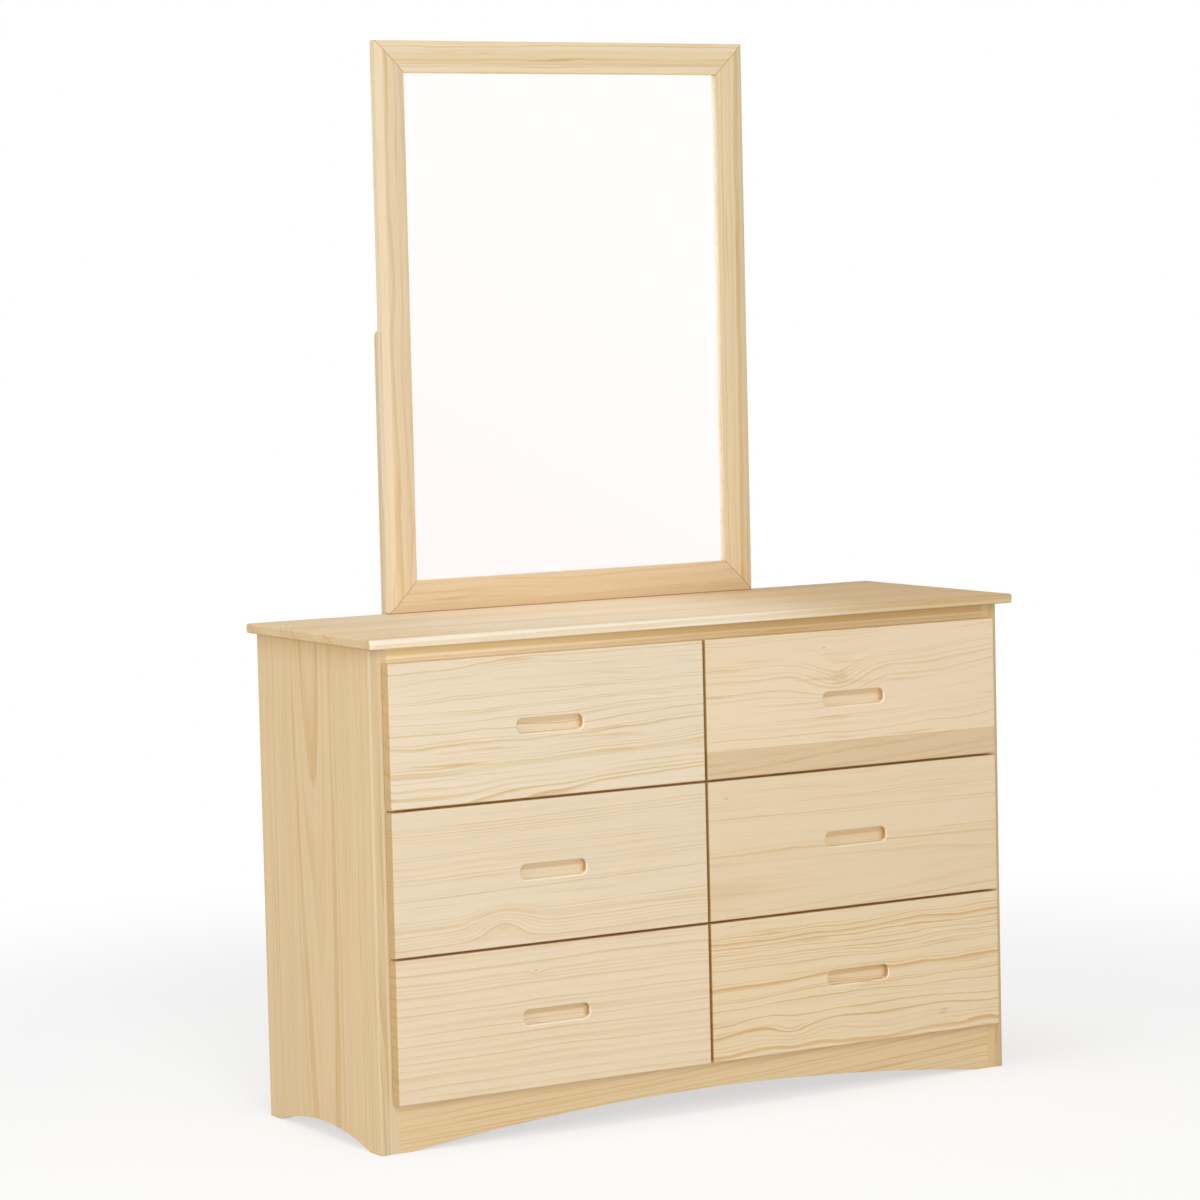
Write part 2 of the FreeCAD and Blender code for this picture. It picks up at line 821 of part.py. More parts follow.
top = make_top()
top.Label = "top_panel"
pieces.append(top)
strips = {column: [runner_strips(row, column == "left") for row in range(len(ROWS))] for column in COLUMNS}
inner_strips = []
for column in COLUMNS:
    is_left = column == "left"
    panel = make_side_panel(f"{column}_side_panel", is_left)
    pieces.append(cut(f"{column}_side_panel", panel, [outer for outer, inner in strips[column]]))
    pieces.append(make_stile(f"{column}_stile", is_left))
    inner_strips += [inner for outer, inner in strips[column]]
pieces.append(cut("centre_partition", make_partition(), inner_strips))
pieces.append(cut("back_panel", make_back(), [post_holes]))
pieces += [make_centre_stile(), make_top_rail(), make_apron()]

for column in COLUMNS:
    is_left = column == "left"
    for row, level in enumerate(ROWS):
        drawer = f"{level}_{column}_drawer"
        if row < len(ROWS) - 1:
            pieces.append(make_divider(f"{level}_{column}_divider_rail", row, is_left))
        runners = doc.addObject("Part::Compound", f"{level}_{column}_runners")
        runners.Links = strips[column][row]
        pieces.append(runners)
        pieces.append(make_front(f"{drawer}_front", row, is_left))
        pieces.append(make_drawer_side(f"{drawer}_left_side", row, is_left, True))
        pieces.append(make_drawer_side(f"{drawer}_right_side", row, is_left, False))
        pieces.append(make_drawer_back(f"{drawer}_back", row, is_left))
        pieces.append(make_drawer_bottom(f"{drawer}_bottom", row, is_left))

top_of_mirror = "top_surface + mirror_height"
mirror_members = (
    make_mirror_member("mirror_frame_bottom", "mirror_width", "-mirror_width / 2", "top_surface", 0),
    make_mirror_member("mirror_frame_right", "mirror_height", "mirror_width / 2", "top_surface", -90),
    make_mirror_member("mirror_frame_top", "mirror_width", "mirror_width / 2", top_of_mirror, 180),
    make_mirror_member("mirror_frame_left", "mirror_height", "-mirror_width / 2", top_of_mirror, 90),
)
pieces += mirror_members
glass_front = "mirror_front + mirror_thickness - rabbet_depth"
pieces.append(make_mirror_sheet("mirror_glass", "glass_thickness", glass_front))
backing_front = f"{glass_front} + glass_thickness"
pieces.append(make_mirror_sheet("mirror_backing", "backing_thickness", backing_front))
for side, is_left in (("left", True), ("right", False)):
    post = make_post(f"{side}_mirror_post", is_left)
    pieces.append(cut(f"{side}_mirror_post", post, [post_holes]))
pieces.append(screw_group("mirror_post_screws", "post_screw_length", post_screw_seats()))

doc.recompute()
for thing in doc.Objects:
    if "Invalid" in thing.State or "Error" in thing.State:
        raise RuntimeError(f"{thing.Label}: {thing.State}")
labels = [piece.Label for piece in pieces]
if len(set(labels)) != len(labels):
    raise RuntimeError("two pieces share a name")
os.makedirs("parts", exist_ok=True)
for piece in pieces:
    shape = piece.Shape
    if shape.isNull() or not shape.isValid() or not shape.Solids:
        raise RuntimeError(f"{piece.Label}: no valid solid")
for piece in pieces:
    piece.Shape.exportStep(f"parts/{piece.Label}.step")
print(f"{len(pieces)} pieces, {sum(len(piece.Shape.Solids) for piece in pieces)} solids")
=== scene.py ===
import math
from collections import namedtuple

import bmesh
import bpy
from mathutils import Matrix, Vector


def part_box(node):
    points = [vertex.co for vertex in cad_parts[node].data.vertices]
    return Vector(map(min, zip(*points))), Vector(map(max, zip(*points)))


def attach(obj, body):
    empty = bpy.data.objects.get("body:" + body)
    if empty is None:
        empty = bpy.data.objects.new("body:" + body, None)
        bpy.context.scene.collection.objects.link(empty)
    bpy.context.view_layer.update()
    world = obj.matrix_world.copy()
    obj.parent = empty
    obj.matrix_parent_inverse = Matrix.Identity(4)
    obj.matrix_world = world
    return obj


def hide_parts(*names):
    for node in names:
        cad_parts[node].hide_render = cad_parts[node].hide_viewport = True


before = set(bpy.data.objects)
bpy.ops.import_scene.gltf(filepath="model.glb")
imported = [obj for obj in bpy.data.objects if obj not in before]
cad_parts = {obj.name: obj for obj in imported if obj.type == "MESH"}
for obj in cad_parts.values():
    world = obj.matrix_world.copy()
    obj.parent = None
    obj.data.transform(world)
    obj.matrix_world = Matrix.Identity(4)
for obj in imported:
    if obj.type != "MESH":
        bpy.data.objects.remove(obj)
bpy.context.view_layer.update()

# Top board: six pine staves glued edge to edge with the grain along the width, planed
# flush, rounded at the front and the ends, and lacquered clear.


class Shade:
    """A value or colour of the material in the making. Sums with it add Math nodes."""

    def __init__(self, tree, socket=None):
        self.tree = tree
        self.socket = socket

    def node(self, kind, settings=None, inputs=None, output=0):
        """Adds a node: its settings first, then the values or links of its inputs."""
        made = self.tree.nodes.new(kind)
        for name, value in (settings or {}).items():
            setattr(made, name, value)
        for name, value in (inputs or {}).items():
            if isinstance(value, Shade):
                self.tree.links.new(value.socket, made.inputs[name])
            else:
                made.inputs[name].default_value = value
        return Shade(self.tree, made.outputs[output] if made.outputs else None)

    def maths(self, operation, other=0.0):
        return self.node("ShaderNodeMath", {"operation": operation}, {0: self, 1: other})

    def __add__(self, other):
        return self.maths("ADD", other)

    def __sub__(self, other):
        return self.maths("SUBTRACT", other)

    def __rsub__(self, other):
        return self.node("ShaderNodeMath", {"operation": "SUBTRACT"}, {0: other, 1: self})

    def __mul__(self, other):
        return self.maths("MULTIPLY", other)

    def __abs__(self):
        return self.maths("ABSOLUTE")

    __radd__ = __add__
    __rmul__ = __mul__


def between(low, high, value):
    """0 below low and 1 above high, with a soft step."""
    return value.node("ShaderNodeMapRange", {"interpolation_type": "SMOOTHSTEP"},
                      {"Value": value, "From Min": low, "From Max": high})


def kept(value):
    """A value held between 0 and 1."""
    return value.node("ShaderNodeClamp", {}, {"Value": value})


def blend(amount, first, second):
    """Mixes two colours, given as Shade or as (red, green, blue)."""
    colours = [colour if isinstance(colour, Shade) else (*colour, 1) for colour in (first, second)]
    mixed = {0: amount, 6: colours[0], 7: colours[1]}
    return amount.node("ShaderNodeMix", {"data_type": "RGBA"}, mixed, output=2)


def times(first, second):
    """One colour or vector times another."""
    return first.node("ShaderNodeVectorMath", {"operation": "MULTIPLY"}, {0: first, 1: second})


def spot_at(start, along, across, through):
    """A place made of three values."""
    return start.node("ShaderNodeCombineXYZ", {}, {0: along, 1: across, 2: through})


Noise = namedtuple("Noise", "waves detail")


def cloud(spot, noise, reach=1.0):
    """A noise between -1 and 1 in a place, from its waves for each millimetre and axis. Reach is
    how many times longer its first waves are than usual."""
    stretch = (noise.waves[0] / reach, *noise.waves[1:])
    made = spot.node("ShaderNodeTexNoise", {"noise_dimensions": "3D"},
                     {"Vector": times(spot, stretch), "Scale": 1.0, "Detail": noise.detail, "Roughness": 0.5})
    return (made - 0.5) * 2.0


def waver(value, detail=0.0):
    """A noise between -1 and 1 along one value."""
    made = value.node("ShaderNodeTexNoise", {"noise_dimensions": "1D"},
                      {"W": value, "Scale": 1.0, "Detail": detail, "Roughness": 0.5})
    return (made - 0.5) * 2.0


def paint(red, green, blue):
    """A colour from its screen values of 0 to 255."""
    return tuple(((value / 255 + 0.055) / 1.055) ** 2.4 for value in (red, green, blue))


def stained(colour, stain):
    """A plain colour times another."""
    return tuple(share * dark for share, dark in zip(colour, stain))


def new_material(name):
    made = bpy.data.materials.new(name)
    made.use_nodes = True
    made.node_tree.nodes.clear()
    return made, Shade(made.node_tree)


def close(start, **inputs):
    """Ends a material in a principled shader with its inputs by name."""
    named = {name.replace("_", " ").title().replace("Ior", "IOR"): value for name, value in inputs.items()}
    shader = start.node("ShaderNodeBsdfPrincipled", {}, named)
    start.node("ShaderNodeOutputMaterial", {}, {"Surface": shader})


def board_place(start, grain):
    """How far a point lies along the grain, across the board and through it, in millimetres."""
    place = start.node("ShaderNodeTexCoord", output="Object")
    return [start.node("ShaderNodeSeparateXYZ", {}, {0: place}, "XYZ".index(axis)) * 1000.0 for axis in grain]


Stave = namedtuple("Stave", "edge heart depth lean dip tone")
Knot = namedtuple("Knot", "along across size spread swell dark")
PLAIN = (1, 1, 1)
LATEWOOD, KNOTWOOD, END_GRAIN = (0.80, 0.65, 0.38), (0.55, 0.36, 0.20), (0.80, 0.70, 0.49)
MELLOW = (0.7, 1.0, 1.5)
LACQUER = {"coat_weight": 0.12, "coat_roughness": 0.3}
DULL = {"specular_ior_level": 0.15}
BOARD_SHIFT, STAVE_SHIFT = 911.0, 1370.0
SWAYS, RIPPLES = Noise((0.0035, 0.012, 0.012), 1.5), Noise((0.012, 0.045, 0.045), 2.0)
RIPPLE_SHARE, SWELL_SHARE = 0.3, 0.4
KNOT_LENGTH, KNOT_CORE, KNOT_RIM, KNOT_FIGURE = 1.7, 0.01, 0.10, 0.6
YEAR_WAVES, YEAR_SHIFT, YEAR_DETAIL, YEAR_SWING = 0.37, 7.1, 1.0, 1.2
LATE_START, LATE_FULL, LATE_END = 0.38, 0.90, 0.94
LATE_WAVES, LATE_SHIFT, LATE_SWING, LATE_MIDDLE = 3.71, 3.3, 1.3, 0.45
PATCHES, PATCH_SHARE = Noise((0.005, 0.025, 0.025), 2.0), 0.6
THREADS, FIBRES = Noise((0.006, 0.24, 0.24), 3.0), Noise((0.02, 1.6, 1.6), 2.0)
FIBRE_SHARE = 0.05
STREAKS, STREAK_START, STREAK_FULL, STREAK_SHARE = Noise((0.0048, 0.080, 0.080), 2.5), 0.16, 0.55, 0.6
DRIFTS, DRIFT_SHARE = Noise((0.0018, 0.010, 0.010), 1.5), 0.035
END_START, END_FULL = 1.8, 0.3
RELIEF = {"Strength": 0.10, "Distance": 0.0003}
FIBRE_RELIEF, THREAD_RELIEF, LATE_RELIEF = 0.2, 0.3, 0.5
THREAD_DULL, LATE_DULL = 0.02, 0.05


def pine(name, grain, staves, colour, seed, ring=5.0, wave=5.0, contrast=0.7, streak=0.5, thread=0.25,
         reach=1.0, knots=(), ends=None, end_share=1.0, painted_falloff=None, mask=None, roughness=0.42, finish=LACQUER):
    """Pine as a solid of growth rings round a heart line, so that faces, edges and ends agree.
    Grain names the board's axes along, across and through it. A stave has its lower edge
    across, its heart across and in depth, how far the heart leans across and dips for each
    millimetre along, and its tone. A knot has its place and size, how strongly the rings go
    round it, how far it swells them out, and how dark its core is. Ring is the width of a year,
    and wave is how far the rings stray. Contrast, streak and thread say how strongly latewood,
    broad streaks and thin lines show, and reach how many times longer than usual they are. Ends
    are where end grain shows. The falloff, a painted shade, says from where to where along the
    board the wood gets how much darker and browner. Mask makes a last colour to multiply by
    from the place. All lengths are millimetres."""
    made, start = new_material(name)
    along, across, through = board_place(start, grain)
    steps = [across.maths("GREATER_THAN", stave.edge) for stave in staves[1:]]

    def of_stave(field):
        """The value of a field of the stave that a point lies in."""
        values = [getattr(stave, field) for stave in staves]
        total = values[0]
        for step, before, after in zip(steps, values, values[1:]):
            if after != before:
                total = step * (after - before) + total
        return total

    own = along + sum((step * STAVE_SHIFT for step in steps), seed * BOARD_SHIFT)
    spot = spot_at(start, own, across, through)
    sway = cloud(spot, SWAYS, reach)
    push = sway * wave + cloud(spot, RIPPLES, reach) * (wave * RIPPLE_SHARE)
    swell = sway * (wave * SWELL_SHARE)
    core = figure = 0.0
    for knot in knots:
        run = (along - knot.along) * (1 / (KNOT_LENGTH * knot.size))
        rise = across - knot.across
        far = run * run + rise * rise * (1 / knot.size ** 2)
        near = (far * -1.0).maths("EXPONENT")
        push = push - near * rise * knot.spread
        swell = near * knot.swell + swell
        figure = near * KNOT_FIGURE + figure
        if knot.dark:
            core = (1 - between(KNOT_CORE, KNOT_RIM, far)) * knot.dark + core
    side = across + push - of_stave("heart") - along * of_stave("lean")
    deep = through - of_stave("depth") - along * of_stave("dip")
    radius = (side * side + deep * deep).maths("SQRT") + swell

    years = radius * (1 / ring)
    years = years + waver(years * YEAR_WAVES + seed * YEAR_SHIFT, YEAR_DETAIL) * YEAR_SWING
    year = years.maths("FLOOR")
    part = years - year
    band = between(LATE_START, LATE_FULL, part) * (1 - between(LATE_END, 1.0, part))
    strength = waver(year * LATE_WAVES + seed * LATE_SHIFT) * LATE_SWING + LATE_MIDDLE
    late = band * kept(strength + cloud(spot, PATCHES) * PATCH_SHARE + figure)
    flow = spot_at(start, own, across + push, through)
    threads = cloud(flow, THREADS)
    fibres = cloud(flow, FIBRES)
    streaks = between(STREAK_START, STREAK_FULL, cloud(flow, STREAKS, reach))
    lines = streaks * (streak * STREAK_SHARE) + threads * thread + fibres * FIBRE_SHARE
    amount = kept(late * contrast + lines)
    base = blend(amount, colour, stained(colour, LATEWOOD))
    drift = cloud(spot, DRIFTS) * DRIFT_SHARE + of_stave("tone")
    if painted_falloff:
        drift = between(painted_falloff[0], painted_falloff[1], along) * painted_falloff[2] + drift
    red, green, blue = (drift * share + 1 for share in MELLOW)
    base = times(base, start.node("ShaderNodeCombineColor", {}, {0: red, 1: green, 2: blue}))
    if any(knot.dark for knot in knots):
        base = blend(kept(core), base, stained(colour, KNOTWOOD))
    if ends:
        half = (ends[1] - ends[0]) / 2
        end = between(half - END_START, half - END_FULL, abs(along - sum(ends) / 2)) * end_share
        base = times(base, blend(end, PLAIN, END_GRAIN))
    if mask:
        base = times(base, mask(along, across, through))
    height = fibres * FIBRE_RELIEF + threads * THREAD_RELIEF - late * LATE_RELIEF
    close(start, base_color=base, roughness=roughness + threads * THREAD_DULL + late * LATE_DULL,
          normal=start.node("ShaderNodeBump", {}, {**RELIEF, "Height": height}), **finish)
    return made


def finish_node(node, made):
    """Gives a CAD node its material in each of its slots, or in a new one."""
    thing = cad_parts[node]
    for holder in thing.material_slots:
        holder.material = made
    if not thing.material_slots:
        thing.data.materials.append(made)


def ends_of(node, axis):
    """The two ends of a node along an axis, in millimetres."""
    low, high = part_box(node)
    index = "XYZ".index(axis)
    return low[index] * 1000, high[index] * 1000


TOP_STAVES = (
    Stave(-222, -170, 740, 0.004, 0.010, -0.01),
    Stave(-148, -60, 730, -0.006, 0.012, 0.00),
    Stave(-70, -10, 745, 0.003, -0.008, 0.01),
    Stave(2, 80, 735, 0.005, 0.006, -0.01),
    Stave(76, 120, 740, -0.004, 0.008, 0.01),
    Stave(148, 230, 725, 0.006, -0.010, -0.02),
)
TOP_ENDS = ends_of("top_panel", "X")
TOP_FRONT, TOP_FACE = ends_of("top_panel", "Y")[0], ends_of("top_panel", "Z")[1]
FRONT_EDGE, FRONT_FADE = 1.5, 2.0
ARRIS_LOW, ARRIS_HIGH = 2.8, 1.8
# Painted light on the top's front edge and its rounding, and painted shade at its left end.
FRONT_EDGE_LIGHT, ARRIS_LIGHT = (1.07, 1.17, 1.34), (0.95, 1.03, 1.17)
LEFT_SHADE, LEFT_SHADE_LENGTH = (0.95, 0.89, 0.76), 270
# Painted shade: the top gets darker and browner towards its right end.
RIGHT_SHADE = (30, 380, -0.35)


def top_mask(along, across, through):
    """A painted light makes the front edge paler, less so on its rounding, and a painted shade makes the left
    end a little browner.
    """
    front = 1 - between(TOP_FRONT + FRONT_EDGE, TOP_FRONT + FRONT_FADE, across)
    left = 1 - between(TOP_ENDS[0], TOP_ENDS[0] + LEFT_SHADE_LENGTH, along)
    pale = blend(between(TOP_FACE - ARRIS_LOW, TOP_FACE - ARRIS_HIGH, through), FRONT_EDGE_LIGHT, ARRIS_LIGHT)
    return blend(front, blend(left, PLAIN, LEFT_SHADE), pale)


top_pine = pine("pine_top", "XYZ", TOP_STAVES, paint(234, 214, 184), 1, ring=5.0, wave=4, contrast=0.45,
                streak=0.3, thread=0.25, ends=TOP_ENDS, end_share=0.25, painted_falloff=RIGHT_SHADE, mask=top_mask,
                roughness=0.6, finish=DULL)
finish_node("top_panel", top_pine)

# Side panels and partition: upright boards of three staves each, grain up, lacquered outside.
# The sides run down to the floor and are cut to an arch between two feet.
SIDE_STAVES = (
    Stave(-191, -330, 40, 0.0, 0.01, 0.00),
    Stave(-75, -15, 95, 0.035, 0.024, -0.005),
    Stave(75, 330, 45, -0.01, -0.01, 0.00),
)
SIDE_COLOUR = paint(227, 197, 148)
SIDE_FRONT, SIDE_TOP = ends_of("left_side_panel", "Y")[0], ends_of("left_side_panel", "Z")[1]
SIDE_EDGE, SIDE_FADE = 1.6, 2.4
# Painted shade under the top's overhang.
UNDER_TOP_SHADE, UNDER_TOP_SHADE_HEIGHT = (0.88, 0.81, 0.64), 51


def side_mask(edge_colour):
    """A painted shade makes the wood browner just under the top, and its planed front edge gets a colour of
    its own.
    """
    def mask(along, across, through):
        upper = between(SIDE_TOP - UNDER_TOP_SHADE_HEIGHT, SIDE_TOP, along)
        edge = 1 - between(SIDE_FRONT + SIDE_EDGE, SIDE_FRONT + SIDE_FADE, across)
        return blend(edge, blend(upper, PLAIN, UNDER_TOP_SHADE), edge_colour)
    return mask


for name, centre, seed, edge_colour in (("left_side_panel", -580, 4, (0.83, 0.90, 1.04)),
                                        ("right_side_panel", 580, 6, (0.80, 0.79, 0.74)),
                                        ("centre_partition", 0, 8, PLAIN)):
    turned = -1 if centre < 0 else 1
    staves = [stave._replace(depth=centre - turned * stave.depth, dip=stave.dip * turned)
              for stave in SIDE_STAVES]
    side_pine = pine("pine_" + name, "ZYX", staves, SIDE_COLOUR, seed, ring=5.0, wave=10, contrast=0.65,
                     streak=0.4, thread=0.35, reach=2.2, ends=ends_of(name, "Z"), mask=side_mask(edge_colour))
    finish_node(name, side_pine)

# Back: one sheet of plywood, fixed on the rear edges of the sides and left unlacquered. Its
# broad face veneer is cut round the log, and its edges show seven plies.
PLY_DARK = (0.78, 0.66, 0.50)
PLY_JOINT_START, PLY_JOINT_FULL = 0.44, 0.5
VENEER_START, VENEER_FULL = 0.2, 0.4
LOG_DEPTH = 90


def plywood(node, grain, plies, seed):
    """Plywood of a node: a rotary-cut face, and at the edges plies that are dark by turns."""
    low, high = ends_of(node, grain[2])
    middle = (low + high) / 2

    def mask(along, across, through):
        depth = (through - low) * (plies / (high - low))
        layer = depth.maths("FLOOR")
        crossed = layer.maths("PINGPONG", 1.0)
        joint = between(PLY_JOINT_START, PLY_JOINT_FULL, abs(depth - layer - 0.5))
        inside = between(VENEER_START, VENEER_FULL, (high - low) / 2 - abs(through - middle))
        return blend(kept(crossed + joint) * inside, PLAIN, PLY_DARK)

    log = (Stave(-2000, sum(ends_of(node, grain[1])) / 2, low - LOG_DEPTH, 0.01, 0.03, 0),)
    sheet = pine("plywood_" + node, grain, log, paint(228, 206, 170), seed, ring=3.0, wave=22, contrast=0.55,
                 streak=0.3, reach=1.6, mask=mask, roughness=0.6, finish=DULL)
    finish_node(node, sheet)


plywood("back_panel", "XZY", 7, 9)

# Stiles: the pine uprights of the face frame. The outer two are glued inside the side panels,
# and the centre one, behind the gap between the two columns of drawers, to the partition.
# Painted shade where the frame shows through the gaps between the drawers.
FRAME_GAP_SHADE = (1.06, 0.84, 0.48)
GAP_HALF, GAP_FADE = 3.0, 4.5


def gap_shade_mask(middle):
    """Behind a gap between drawers, a painted shade turns the frame a warm brown."""
    def mask(along, across, through):
        return blend(between(GAP_HALF, GAP_FADE, abs(across - middle)), FRAME_GAP_SHADE, PLAIN)
    return mask


for name, seed, colour, mask in (("left_stile", 11, paint(218, 196, 160), None),
                                 ("right_stile", 12, paint(217, 187, 136), None),
                                 ("centre_stile", 13, paint(230, 204, 162), gap_shade_mask(0))):
    stile_pine = pine("pine_" + name, "ZXY", (Stave(-600, 900, -150, 0.0, 0.01, 0),), colour, seed, ring=3.5,
                      wave=2, contrast=0.35, streak=0.3, mask=mask)
    finish_node(name, stile_pine)

# Rails: the top rail and the apron are tenoned into the stiles, and the apron is sawn to a low
# arch. Four short divider rails of the same pine stand behind the gaps between the rows.
RAIL_STAVES = (Stave(0, 1000, -150, 0.0, 0.004, 0),)
# Painted shadow of the top on the upper part of the rail.
SHADE_LINE, SHADE_FADE = 766.5, 1.5
SHADE_BROWN = (0.92, 0.82, 0.58)


def shade_mask(along, across, through):
    """Above the line where the top's shadow ends on the rail, a painted shadow makes the rail browner."""
    return blend(between(SHADE_LINE - SHADE_FADE, SHADE_LINE + SHADE_FADE, across), PLAIN, SHADE_BROWN)


# The rail's falloff is a painted shade, darker and browner towards its right end.
top_rail_pine = pine("pine_top_rail", "XZY", RAIL_STAVES, paint(239, 222, 189), 14, wave=4, contrast=0.5,
                     painted_falloff=(-500, 250, -0.27), mask=shade_mask)
finish_node("top_rail", top_rail_pine)
apron_pine = pine("pine_apron_rail", "XZY", (Stave(-10, 130, -140, 0.02, 0.06, 0),), paint(222, 196, 153), 15,
                  ring=5.5, wave=6, contrast=0.8)
finish_node("apron_rail", apron_pine)
for name, seed in (("top_left", 20), ("top_right", 21), ("middle_left", 21), ("middle_right", 22)):
    node = name + "_divider_rail"
    divider_pine = pine("pine_" + node, "XZY", RAIL_STAVES, paint(232, 206, 164), seed, contrast=0.5,
                        finish=DULL, mask=gap_shade_mask(sum(ends_of(node, "Z")) / 2))
    finish_node(node, divider_pine)

# Drawer fronts: six boards of lacquered pine, each with its own figure, and each routed with a
# finger pull that has a rounded rim. They lie over the frame.
FRONT_FACE = ends_of("top_left_drawer_front", "Y")[0]
FRONTS = {
    "top_left": dict(
        colour=paint(228, 211, 184), seed=20, ring=6.0, wave=11, contrast=0.85, streak=1.2, thread=0.4,
        staves=(Stave(0, 540, FRONT_FACE + 26, 0.03, -0.014, 0),)),
    "top_right": dict(
        colour=paint(229, 208, 176), seed=21, ring=7.5, wave=13, contrast=0.5, streak=0.9, thread=0.3,
        staves=(Stave(0, 640, FRONT_FACE + 110, 0.05, 0.02, -0.20),
                Stave(576.5, 530, FRONT_FACE + 60, 0.03, 0.0, 0)),
        knots=(Knot(258, 680, 38, 0.1, 30, 0.16), Knot(228, 729, 7, 0.6, 6, 0.5))),
    "middle_left": dict(
        colour=paint(226, 208, 179), seed=22, ring=7.5, wave=5, contrast=0.6, streak=0.4, thread=0.35,
        staves=(Stave(0, 262, FRONT_FACE + 25, 0.02, 0.02, 0),),
        knots=(Knot(-376, 338, 30, 0.3, -24, 0.10),)),
    "middle_right": dict(
        colour=paint(225, 204, 169), seed=23, ring=6.5, wave=6, contrast=0.5, streak=0.45, thread=0.35,
        staves=(Stave(0, 350, FRONT_FACE + 60, 0.02, 0.022, -0.03),
                Stave(420, 300, FRONT_FACE + 20, 0.0, 0.0, 0)),
        knots=(Knot(36, 500, 6, 0.6, 5, 0.5),)),
    "bottom_left": dict(
        colour=paint(226, 207, 176), seed=24, ring=10.0, wave=4, contrast=0.5, streak=0.3, thread=0.35,
        staves=(Stave(0, -60, FRONT_FACE + 20, 0.0, 0.0, 0),),
        knots=(Knot(-320, 262, 7, 0.6, 5, 0.4),)),
    "bottom_right": dict(
        colour=paint(226, 204, 168), seed=25, ring=7.0, wave=14, contrast=1.0, streak=1.3, thread=0.45,
        staves=(Stave(0, -30, FRONT_FACE + 50, 0.02, 0.03, 0),),
        knots=(Knot(155, 118, 24, 0.25, 11, 0.0), Knot(449, 109.5, 4, 0.0, 0.0, 0.45),
               Knot(453, 110.7, 4, 0.0, 0.0, 0.45), Knot(457, 112, 4, 0.0, 0.0, 0.45))),
}
PULL_HALF_WIDTH, PULL_HALF_HEIGHT, PULL_CORNER, PULL_DEPTH = 59.0, 12.0, 9.0, 12.0
# Painted shade: end grain with shade in the pull's ends, and the upper lip's shadow on its floor.
PULL_END_GRAIN_AND_SHADE, PULL_LIP_SHADOW, PULL_UNDER_LIP_SHADOW = (0.74, 0.60, 0.40), (0.88, 0.79, 0.64), (1.03, 0.98, 0.82)
# Painted highlight on the pull's lower rim and lower wall.
PULL_RIM_HIGHLIGHT, RIM_START, RIM_WIDTH, RIM_FADE = (1.16, 1.21, 1.28), 0.6, 1.6, 0.8
RIM_SLOPE, RIM_TURN = 0.08, 1
PULL_REACH, PULL_FADE = 2, 3
BEHIND_START, BEHIND_FULL = 1.2, 2.2
BED_START, BED_FULL = PULL_DEPTH - 0.6, PULL_DEPTH - 0.2
# Where the painted shadow of the upper lip lies, and the painted shade by the right end.
LIP_SHADOW_LINE, LIP_SHADOW_FADE, UNDER_LIP_START, UNDER_LIP_FULL = 1.5, 3.5, 6, 9
END_SHADOW_REACH, END_SHADOW_FADE, END_SHADOW_SHARE = 6, 3, 0.8
CURVE_START, CURVE_FULL = 0.55, 0.9


def pull_mask(run, rise, through):
    """The routed pull: end grain and a painted shade darken its two ends, a painted shadow of
    the upper lip browns the upper part of its floor and the floor by its right end, and a painted
    highlight pales its lower rim and lower wall. Run and rise are the place beside its middle."""
    wide = (abs(run) - (PULL_HALF_WIDTH - PULL_CORNER)).maths("MAXIMUM")
    high = (abs(rise) - (PULL_HALF_HEIGHT - PULL_CORNER)).maths("MAXIMUM")
    edge = (wide * wide + high * high).maths("SQRT")
    near = 1 - between(PULL_CORNER + PULL_REACH, PULL_CORNER + PULL_FADE, edge)
    behind = near * between(FRONT_FACE + BEHIND_START, FRONT_FACE + BEHIND_FULL, through)
    floor_depth = between(FRONT_FACE + BED_START, FRONT_FACE + BED_FULL, through)
    bed = near * floor_depth
    wall = behind * (1 - floor_depth)
    lower = wall * between(0, PULL_CORNER, rise * -1.0)
    outside = 1 - between(PULL_CORNER + RIM_WIDTH, PULL_CORNER + RIM_WIDTH + RIM_FADE, edge)
    rim = between(PULL_CORNER - RIM_START, PULL_CORNER, edge) * outside
    rim = rim * (1 - behind) * between(-RIM_TURN, RIM_TURN, run * RIM_SLOPE - rise)
    shown = blend(kept(rim + lower), PLAIN, PULL_RIM_HIGHLIGHT)
    lip_shadow = blend(between(UNDER_LIP_START, UNDER_LIP_FULL, rise), PULL_LIP_SHADOW, PULL_UNDER_LIP_SHADOW)
    shown = blend(bed * between(LIP_SHADOW_LINE, LIP_SHADOW_FADE, rise), shown, lip_shadow)
    far_end = between(PULL_HALF_WIDTH - END_SHADOW_REACH, PULL_HALF_WIDTH - END_SHADOW_FADE, run)
    shown = blend(bed * far_end * END_SHADOW_SHARE, shown, PULL_LIP_SHADOW)
    return blend(wall * between(CURVE_START, CURVE_FULL, wide * (1 / PULL_CORNER)), shown, PULL_END_GRAIN_AND_SHADE)


# Painted shade on the fronts' sides in the gaps, and painted light on the top row's upper edge.
EDGE_GAP_SHADE, EDGE_SHADE_START, EDGE_SHADE_FULL = (1.15, 0.91, 0.51), 4, 10
TOP_EDGE_LIGHT, EDGE_ROUNDING = (1.20, 1.18, 1.08), 2.2
SKIN_START, SKIN_FULL = 0.3, 0.1


